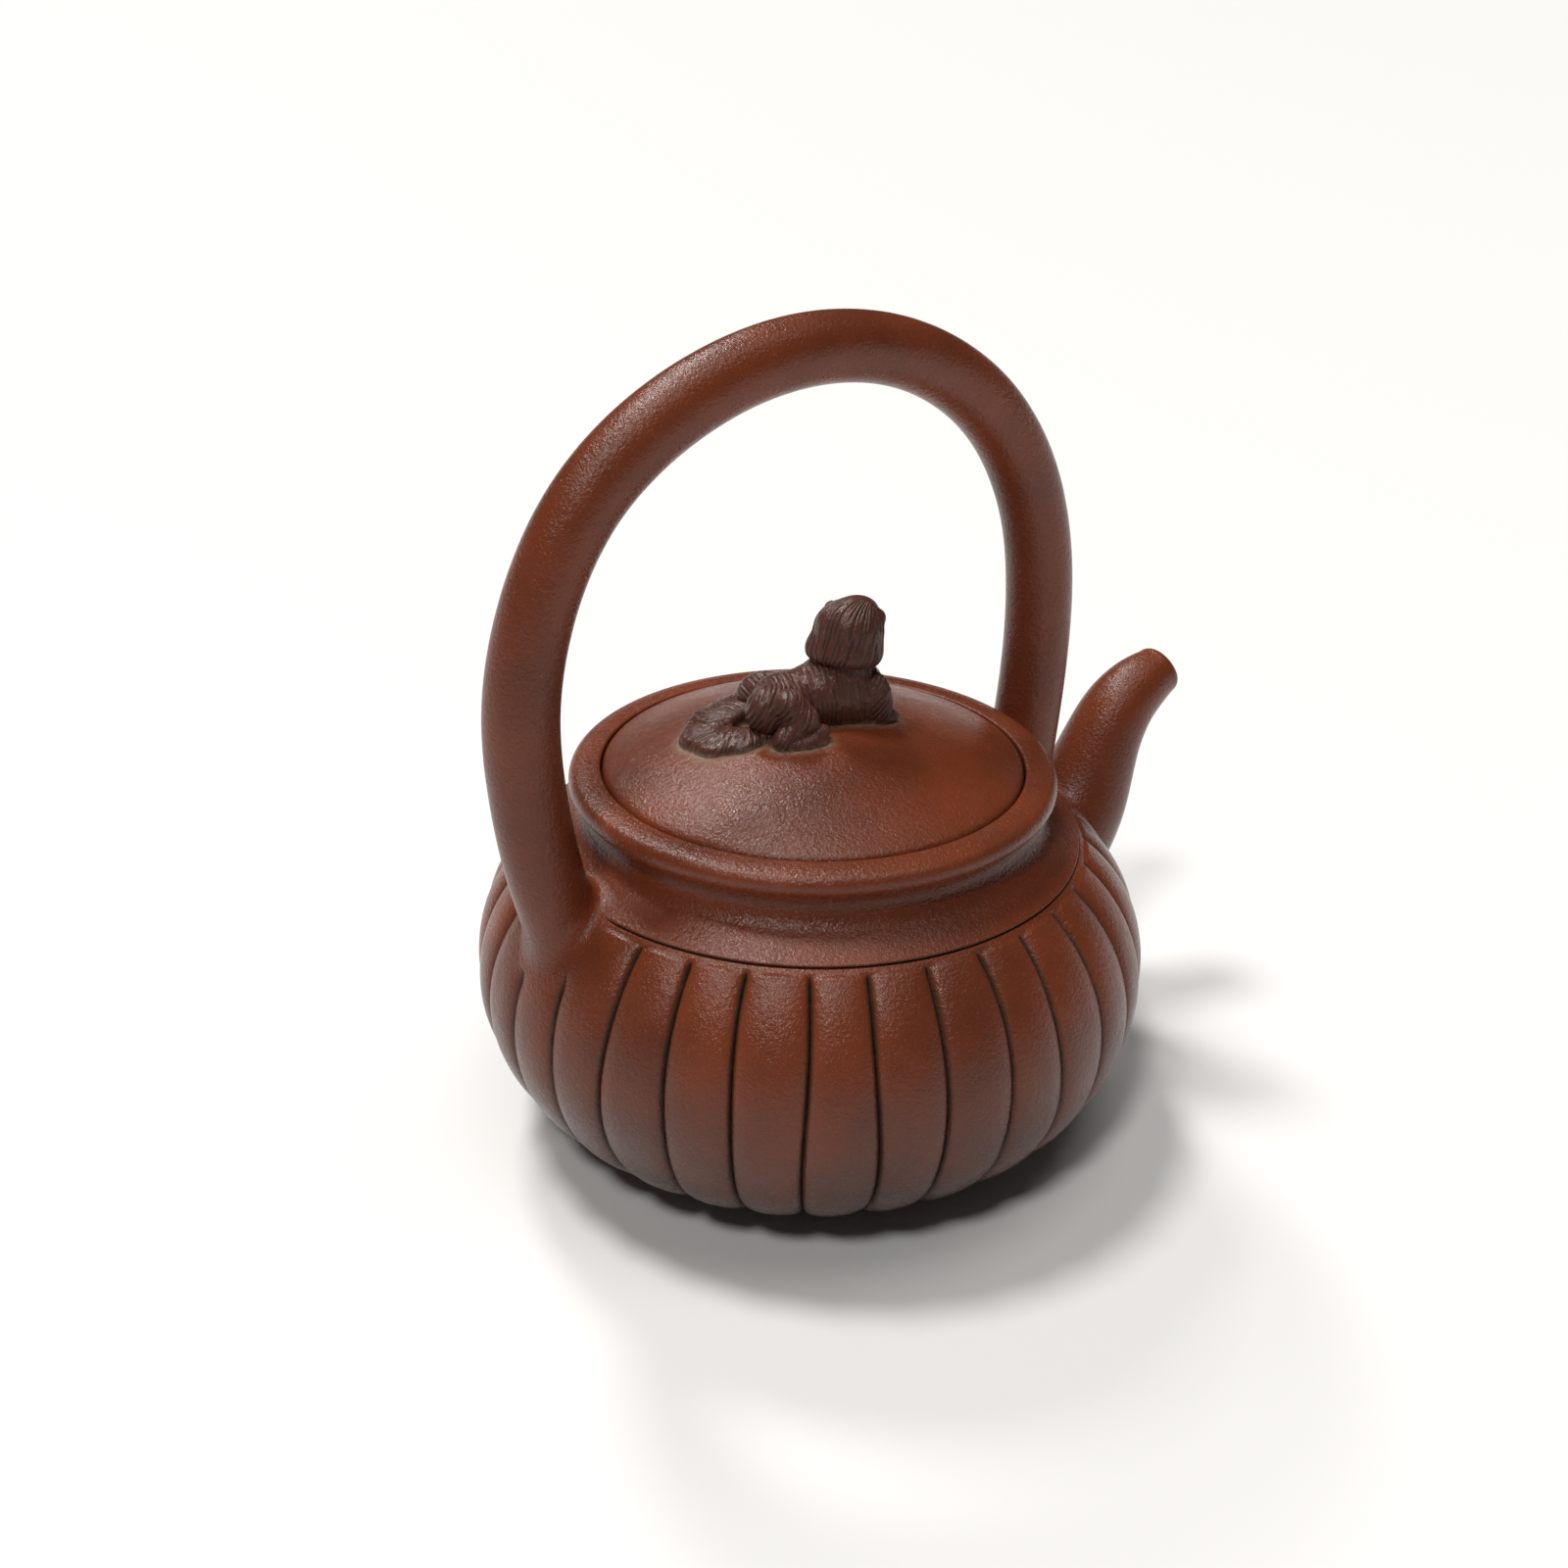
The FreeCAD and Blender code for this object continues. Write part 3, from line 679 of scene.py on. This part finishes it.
def tail_ways(place):
    """Side distance from the bent tail's outline, its height, and how far along it a place is."""
    side = np.full(place.shape[:-1], 1e9)
    total, tall, along = (np.zeros(place.shape[:-1]) for _ in range(3))
    walked = 0.0
    for i in range(len(TAIL_LINE) - 1):
        start = np.array(TAIL_LINE[i])
        way = np.array(TAIL_LINE[i + 1]) - start
        gap = place[..., :2] - start
        share = np.clip((gap @ way) / (way @ way), 0, 1)
        half = TAIL_HALF[i] + (TAIL_HALF[i + 1] - TAIL_HALF[i]) * share
        near = np.linalg.norm(gap - share[..., None] * way, axis=-1) - half
        weight = np.exp(-1.5 * np.clip(near, -6, 30))
        total += weight
        tall += weight * (TAIL_TALL[i] + (TAIL_TALL[i + 1] - TAIL_TALL[i]) * share)
        along += weight * (walked + np.linalg.norm(way) * share)
        walked += np.linalg.norm(way)
        side = join(side, near, 1.6)
    return side, tall / np.maximum(total, 1e-12), along / np.maximum(total, 1e-12)


def tail_shape(place):
    side, tall, along = tail_ways(place)
    above = place[..., 2] - (lid_height(place) + tall - 1.1 * np.exp(np.minimum(side, 0) / 1.5))
    return meet(side, above, 0.7)


def on_head(forward, left, up):
    """A place on the head, which looks HEAD_TURN to the lion's left."""
    c, s = math.cos(math.radians(HEAD_TURN)), math.sin(math.radians(HEAD_TURN))
    return HEAD[0] + forward * c - left * s, HEAD[1] + forward * s + left * c, HEAD[2] + up


def head_shape(place):
    skull = egg(place, on_head(0, 0, 0.6), (6.6, 7.2, 6.4), HEAD_TURN)
    mane = egg(place, on_head(-0.6, 0.6, -3.2), (7.2, 8.0, 5.0), HEAD_TURN)
    shape = join(skull, mane, 1.6)
    hem = 20.3 - place[..., 2] - 0.16 * (place[..., 0] - HEAD[0]) - 0.10 * place[..., 1]
    shape = meet(shape, hem, 1.0)
    shape = join(shape, egg(place, on_head(1.8, -1.2, 4.6), (3.8, 4.0, 2.8), HEAD_TURN), 1.0)
    muzzle = egg(place, on_head(5.8, 0, -1.5), (3.2, 3.4, 3.0), HEAD_TURN)
    nose = egg(place, on_head(8.6, 0, -0.2), (1.0, 1.4, 0.9), HEAD_TURN)
    shape = join(join(shape, muzzle, 1.0), nose, 0.5)
    for side in (-1, 1):
        brow = egg(place, on_head(5.9, 2.4 * side, 2.3), (1.5, 1.8, 1.1), HEAD_TURN)
        ear = egg(place, on_head(2.8, 5.0 * side, 3.2), (1.4, 1.6, 1.9), HEAD_TURN)
        eye = egg(place, on_head(6.6, 2.3 * side, 0.9), (0.8, 0.9, 0.8), HEAD_TURN)
        shape = join(join(join(shape, brow, 0.6), ear, 0.6), eye, 0.3)
    mouth = egg(place, on_head(8.6, 0, -2.9), (1.6, 2.4, 0.35), HEAD_TURN)
    return -join(-shape, mouth, 0.3)


def torso_shape(place):
    shape = limb(place, (-7.0, 0, 13.4), (7.0, 0, 13.8), 6.2, 6.4)
    shape = join(shape, egg(place, (9.0, -0.5, 13.2), (6.0, 6.2, 7.0)), 2.0)
    return join(shape, limb(place, (3.0, 0, 15.0), (6.0, 0, 20.5), 6.6, 5.6), 3.0)


def haunch_shape(place):
    return egg(place, (-10.4, -3.8, 13.8), (5.6, 4.6, 5.2), 10, 12)


def hind_leg_shape(place):
    thigh = limb(place, (-7.8, -7.0, 15.4), (-5.4, -8.4, 12.8), 3.6, 3.3)
    return join(thigh, limb(place, (-5.6, -8.8, 12.6), (-10.0, -9.8, 9.6), 3.0, 2.3), 0.8)


def paw_shape(place):
    sole = egg(place, (-6.2, -10.3, 9.1), (5.4, 2.5, 1.8), -8)
    return join(sole, egg(place, (-3.6, -9.4, 10.3), (3.4, 2.2, 1.6), -10, -14), 0.9)


def foreleg_shape(place, side):
    upper = egg(place, (11.8, 4.0 * side - 0.4, 13.2), (3.2, 3.0, 6.0), 0, -6)
    return join(upper, egg(place, (14.2, 3.6 * side - 0.4, 9.4), (2.6, 2.3, 1.5)), 1.0)


def body_shape(place):
    shape = join(torso_shape(place), haunch_shape(place), 1.0)
    shape = join(shape, egg(place, (-8.0, 6.6, 12.9), (6.0, 4.4, 4.6), -12), 1.2)
    shape = join(shape, egg(place, (-5.0, 11.6, 9.0), (5.4, 2.7, 2.2), 14), 0.8)
    shape = join(join(shape, foreleg_shape(place, -1), 0.6), foreleg_shape(place, 1), 0.6)
    return join(join(shape, hind_leg_shape(place), 0.5), paw_shape(place), 0.4)


def strokes(across, along, spacing, breaks):
    """0 to 1 where a comb of incised strokes cuts: across numbers the strokes, along runs down them."""
    number = np.round(across / spacing)
    offset = across / spacing - number + 0.16 * np.sin(number * 3.3)
    cut = np.exp(-((offset * spacing) / 0.22) ** 2)
    length = 0.5 + 0.5 * np.sin(along / breaks + number * 2.4 + 1.3 * np.sin(number * 1.7))
    return cut * smoothstep(0.06, 0.3, length) * (0.8 + 0.2 * np.sin(number * 5.1))


def head_strokes(place):
    """Combed from the forelock down to the mane's hem, with a slight twist."""
    q = turned(place, HEAD, HEAD_TURN)
    pole = np.array((0.45, -0.35, 0.82))
    pole /= np.linalg.norm(pole)
    first = np.cross(pole, (0.0, 1.0, 0.0))
    first /= np.linalg.norm(first)
    down = q @ pole
    out, aside = q @ first, q @ np.cross(pole, first)
    reach = np.hypot(out, aside)
    angle = np.arctan2(aside, out) + 0.035 * down + 0.03 * wave(place / 3.0, 8.0)
    fade = smoothstep(1.5, 3.5, reach)
    return fade * strokes(angle * HEAD_STROKES / math.tau, down, 1.0, 2.3)


def body_strokes(place):
    ripple = 0.35 * wave(place / 4.0, 9.0)
    combs = [
        (torso_shape(place), place[..., 0] + 0.12 * place[..., 2] + ripple,
         place[..., 2] + place[..., 1], 1.0),
        (haunch_shape(place), 0.85 * place[..., 0] - 0.5 * place[..., 2] - 0.3 * place[..., 1] + ripple,
         place[..., 0] + place[..., 2], 0.95),
        (hind_leg_shape(place), 0.9 * place[..., 0] - 0.5 * place[..., 2] + ripple,
         0.5 * place[..., 0] + place[..., 2], 0.95),
        (egg(place, (-8.0, 6.6, 12.9), (6.0, 4.4, 4.6), -12),
         0.8 * place[..., 0] + 0.6 * place[..., 2] + ripple,
         place[..., 0] - place[..., 2], 1.0),
    ]
    for side in (-1, 1):
        combs.append((foreleg_shape(place, side), 0.6 * place[..., 2] - 0.75 * place[..., 0] + ripple,
                      place[..., 2] + place[..., 0], 0.95))
    combs.append((paw_shape(place), None, None, None))
    combs.append((egg(place, (-5.0, 11.6, 9.0), (5.4, 2.7, 2.2), 14), None, None, None))
    owner = np.argmin([comb[0] for comb in combs], axis=0)
    cut = np.zeros(place.shape[:-1])
    for index, (shape, across, along, spacing) in enumerate(combs):
        if spacing:
            cut = np.where(owner == index, strokes(across, along, spacing, 1.9), cut)
    return cut


def tail_strokes(place):
    side, tall, along = tail_ways(place)
    comb = strokes(along + 0.35 * side + 0.3 * wave(place / 4.0, 10.0), side * 2.0, 0.95, 2.2)
    return comb * smoothstep(0.2, -0.4, side - 0.25)


def slope_of(shape, place, step=0.03):
    sides = [shape(place + way) - shape(place - way) for way in np.eye(3) * step]
    slope = np.stack(sides, -1)
    return slope / np.maximum(np.linalg.norm(slope, axis=-1, keepdims=True), 1e-9)


def carve(shape, low, high, step):
    """Closed quad skin round where shape is negative, found on a grid and moved on to the surface."""
    block = 4
    counts = np.ceil((np.array(high) - np.array(low)) / (step * block)).astype(int) + 1
    start = np.array(low, float)
    coarse = start + (np.stack(np.meshgrid(*map(np.arange, counts), indexing="ij"), -1) + 0.5) * step * block
    rough = shape(coarse)
    values = np.repeat(np.repeat(np.repeat(rough, block, 0), block, 1), block, 2)
    busy = np.argwhere(np.abs(rough) < step * block * 1.5)
    inner = np.stack(np.meshgrid(*[np.arange(block)] * 3, indexing="ij"), -1).reshape(-1, 3)
    cells = (busy[:, None] * block + inner[None]).reshape(-1, 3)
    values[tuple(cells.T)] = shape(start + (cells + 0.5) * step)
    inside = values < 0
    ends = (0, 1)
    lattice = [
        inside[i:i - 1 or None, j:j - 1 or None, k:k - 1 or None]
        for i in ends for j in ends for k in ends
    ]
    some, every = np.any(lattice, axis=0), np.all(lattice, axis=0)
    corner = np.argwhere(some & ~every)
    number = np.full(some.shape, -1)
    number[tuple(corner.T)] = np.arange(len(corner))
    place = start + (corner + 1.0) * step
    for _ in range(4):
        place = place - 0.9 * slope_of(shape, place) * shape(place)[..., None]
    faces = []
    for axis in range(3):
        first = [slice(None)] * 3
        second = [slice(None)] * 3
        first[axis], second[axis] = slice(None, -1), slice(1, None)
        one, other = inside[tuple(first)], inside[tuple(second)]
        edges = np.argwhere(one != other)
        edges = edges[(edges > 0).all(1)]
        u, v = [step_axis for step_axis in range(3) if step_axis != axis]
        quad = []
        for du, dv in ((-1, -1), (0, -1), (0, 0), (-1, 0)):
            cell = edges.copy()
            cell[:, u] += du
            cell[:, v] += dv
            quad.append(number[tuple(cell.T)])
        quad = np.stack(quad, -1)
        flip = one[tuple(edges.T)] == (axis == 1)
        quad[flip] = quad[flip][:, ::-1]
        faces.append(quad)
    return place, np.concatenate(faces)


def to_part(place):
    """From the lion's frame to the part's frame."""
    c, s = math.cos(math.radians(LION_TURN)), math.sin(math.radians(LION_TURN))
    x, y = place[..., 0] * c - place[..., 1] * s, place[..., 0] * s + place[..., 1] * c
    return np.stack([x, y, place[..., 2] + RIM_TOP_Z], -1)


def from_part(place):
    """From the part's frame to the lion's frame."""
    c, s = math.cos(math.radians(LION_TURN)), math.sin(math.radians(LION_TURN))
    x, y = place[..., 0] * c + place[..., 1] * s, -place[..., 0] * s + place[..., 1] * c
    return np.stack([x, y, place[..., 2] - RIM_TOP_Z], -1)


def lion_piece(name, nodes, shape, combing, low, high, step, depth):
    def standing(place):
        return meet(shape(place), lid_height(place) - 0.5 - place[..., 2], 0.1)

    place, faces = carve(standing, low, high, step)
    above = place[..., 2] - lid_height(place)
    cut = combing(place) * smoothstep(0.1, 0.7, above)
    moved = place - slope_of(shape, place) * (depth * cut + 0.05 * wave(place / 1.3, 12.0))[..., None]
    dust = smoothstep(1.0, 0.0, above + 0.35 * wave(place / 1.1, 13.0))
    fields = {"residue": 0.8 * cut, "dust": dust}
    make_piece(name, to_part(moved), faces, "lid", "knob_clay", nodes, fields, sharp=75.0)


def lion():
    lion_piece(
        "lion_body_carved",
        ["lion_torso", "lion_neck", "lion_haunch_near", "lion_haunch_far", "lion_hind_paw_near",
         "lion_hind_paw_far", "lion_foreleg_near", "lion_foreleg_far"],
        body_shape, body_strokes, (-18.0, -15.0, 6.5), (18.5, 16.0, 28.5), 0.19, 0.30,
    )
    lion_piece(
        "lion_head_carved",
        ["lion_head", "lion_mane", "lion_muzzle", "lion_forelock", "lion_ear_near", "lion_ear_far"],
        head_shape, head_strokes, (-3.5, -10.0, 17.0), (18.0, 13.0, 36.0), 0.15, 0.34,
    )
    lion_piece(
        "lion_tail_carved", ["lion_tail"],
        tail_shape, tail_strokes, (-29.0, -10.0, 4.0), (-4.0, 14.5, 14.5), 0.15, 0.28,
    )


# ---------------------------------------------------------------- clay

def clay(name, light, dark, gloss):
    """Unglazed clay: cloudy colour, fine crawling grain, dull residue in cuts and pale dust in corners, with
    painted shade and a painted grey floor reflection low on the belly.
    """
    material = bpy.data.materials.new(name)
    material.use_nodes = True
    nodes, links = material.node_tree.nodes, material.node_tree.links
    shader = nodes["Principled BSDF"]
    place = nodes.new("ShaderNodeTexCoord").outputs["Object"]

    def noise(scale, detail=3.0, rough=0.55, distortion=0.0):
        node = nodes.new("ShaderNodeTexNoise")
        node.inputs["Scale"].default_value = scale
        node.inputs["Detail"].default_value = detail
        node.inputs["Roughness"].default_value = rough
        node.inputs["Distortion"].default_value = distortion
        links.new(place, node.inputs["Vector"])
        return node.outputs["Fac"]

    def spread(value, low, high, to_low=0.0, to_high=1.0):
        node = nodes.new("ShaderNodeMapRange")
        sockets = ("From Min", "From Max", "To Min", "To Max")
        for socket, number in zip(sockets, (low, high, to_low, to_high)):
            node.inputs[socket].default_value = number
        links.new(value, node.inputs["Value"])
        return node.outputs["Result"]

    def combine(operation, first, second):
        node = nodes.new("ShaderNodeMath")
        node.operation = operation
        links.new(first, node.inputs[0])
        links.new(second, node.inputs[1])
        return node.outputs[0]

    def mix(factor, first, second):
        node = nodes.new("ShaderNodeMix")
        node.data_type = "RGBA"
        for socket, value in (("Factor", factor), ("A", first), ("B", second)):
            target = [i for i in node.inputs if i.name == socket and i.enabled][0]
            if isinstance(value, tuple):
                target.default_value = (*value, 1.0)
            else:
                links.new(value, target)
        return [o for o in node.outputs if o.enabled][0]

    def attribute(field):
        node = nodes.new("ShaderNodeAttribute")
        node.attribute_name = field
        return node.outputs["Fac"]

    def bump(height, distance, strength, below=None):
        node = nodes.new("ShaderNodeBump")
        node.inputs["Strength"].default_value = strength
        node.inputs["Distance"].default_value = distance
        links.new(height, node.inputs["Height"])
        if below:
            links.new(below, node.inputs["Normal"])
        return node.outputs["Normal"]

    colour = mix(spread(noise(38.0, 4.0, 0.6), 0.36, 0.64), dark, light)
    colour = mix(spread(noise(900.0, 2.0, 0.5), 0.66, 0.74, 0.0, 0.6), colour, tuple(1.4 * c for c in light))
    patchy = combine("MULTIPLY", attribute("residue"), spread(noise(420.0, 4.0, 0.7), 0.3, 0.6, 0.5, 1.0))
    # Painted shade and painted grey floor reflection: the colour darkens and greys towards the bottom of the
    # pot.
    height = nodes.new("ShaderNodeSeparateXYZ")
    links.new(place, height.inputs[0])
    ragged = spread(noise(60.0), 0.3, 0.7, -0.008, 0.008)
    painted_low_shade = spread(combine("ADD", height.outputs["Z"], ragged), PAINTED_SHADE_TOP, PAINTED_SHADE_BOTTOM, 0.0, 0.85)
    colour = mix(painted_low_shade, colour, PAINTED_SHADE_AND_SHEEN_COLOUR)
    colour = mix(spread(patchy, 0.1, 0.9), colour, RESIDUE_COLOUR)
    dusty = combine("MULTIPLY", attribute("dust"), spread(noise(900.0, 3.0, 0.6), 0.35, 0.6, 0.25, 1.0))
    colour = mix(dusty, colour, DUST_COLOUR)
    links.new(colour, shader.inputs["Base Color"])
    dull = combine("ADD", spread(patchy, 0.1, 0.8, 0.0, 0.25), spread(dusty, 0.0, 1.0, 0.0, 0.4))
    uneven = spread(noise(160.0, 3.0, 0.6), 0.3, 0.7, gloss - 0.05, gloss + 0.06)
    links.new(combine("ADD", uneven, dull), shader.inputs["Roughness"])
    grain = bump(noise(2400.0, 2.0, 0.5, 0.6), 0.00012, 1.0)
    links.new(bump(noise(1150.0, 2.0, 0.5, 0.4), 0.00022, 0.7, grain), shader.inputs["Normal"])
    shader.inputs["Specular IOR Level"].default_value = CLAY_SPECULAR
    return material


def dress(clays):
    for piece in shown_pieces():
        slot = piece.get("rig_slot") or ("knob_clay" if piece.name.startswith("lion") else "pot_clay")
        piece.data.materials.clear()
        piece.data.materials.append(clays[slot])


# ---------------------------------------------------------------- stage, light and camera

def look_at(place, target, roll=0.0):
    turn = (Vector(target) - Vector(place)).to_track_quat("-Z", "Y")
    return turn @ Euler((0, 0, math.radians(roll))).to_quaternion()


def polar(azimuth, elevation, distance):
    a, e = math.radians(azimuth), math.radians(elevation)
    return Vector((math.cos(a) * math.cos(e), math.sin(a) * math.cos(e), math.sin(e))) * distance


def soft_light(name, azimuth, elevation, spread, power):
    """A distant round softbox: spread is how wide it looks from the pot, in degrees."""
    light = bpy.data.lights.new(name, "SUN")
    light.angle = math.radians(spread)
    light.energy = power
    light.color = LIGHT_COLOUR
    lamp = bpy.data.objects.new(name, light)
    lamp.location = polar(azimuth, elevation, 1.2)
    lamp.rotation_euler = look_at(lamp.location, (0, 0, 0)).to_euler()
    bpy.context.scene.collection.objects.link(lamp)


def stage():
    world = bpy.data.worlds.new("studio")
    world.use_nodes = True
    world.node_tree.nodes["Background"].inputs["Color"].default_value = (1.0, 1.0, 1.0, 1.0)
    world.node_tree.nodes["Background"].inputs["Strength"].default_value = WORLD_STRENGTH
    bpy.context.scene.world = world
    mesh = bpy.data.meshes.new("floor")
    corners = [(-1, -1, 0), (1, -1, 0), (1, 1, 0), (-1, 1, 0)]
    mesh.from_pydata([Vector(c) * FLOOR_REACH for c in corners], [], [(0, 1, 2, 3)])
    floor = bpy.data.objects.new("floor", mesh)
    bpy.context.scene.collection.objects.link(floor)
    pale = bpy.data.materials.new("pale_floor")
    pale.use_nodes = True
    shader = pale.node_tree.nodes["Principled BSDF"]
    shader.inputs["Base Color"].default_value = (FLOOR_WHITE, FLOOR_WHITE, FLOOR_WHITE, 1.0)
    shader.inputs["Roughness"].default_value = FLOOR_ROUGHNESS
    floor.data.materials.append(pale)
    for lamp in LAMPS:
        soft_light(*lamp)


def camera():
    scene = bpy.context.scene
    lens = bpy.data.cameras.new("camera")
    lens.lens = CAMERA_LENS
    lens.sensor_width = 36.0
    eye = bpy.data.objects.new("camera", lens)
    target = Vector((0, 0, RIM_TOP_Z * MM))
    eye.location = target + polar(CAMERA_AZIMUTH, CAMERA_ELEVATION, CAMERA_DISTANCE * MM)
    turn = look_at(eye.location, target, CAMERA_ROLL)
    turn = turn @ Euler((math.radians(CAMERA_TILT), math.radians(CAMERA_PAN), 0)).to_quaternion()
    eye.rotation_euler = turn.to_euler()
    scene.collection.objects.link(eye)
    scene.camera = eye
    scene.view_settings.view_transform = "Standard"


def main():
    body_wall()
    shoulder()
    neck_and_rim()
    lid_seat()
    handle()
    spout()
    roots()
    lid_dome()
    lid_flange()
    lion()
    dress({
        "pot_clay": clay("pot_clay", POT_LIGHT, POT_DARK, POT_GLOSS),
        "knob_clay": clay("knob_clay", KNOB_LIGHT, KNOB_DARK, KNOB_GLOSS),
    })
    stage()
    camera()


main()
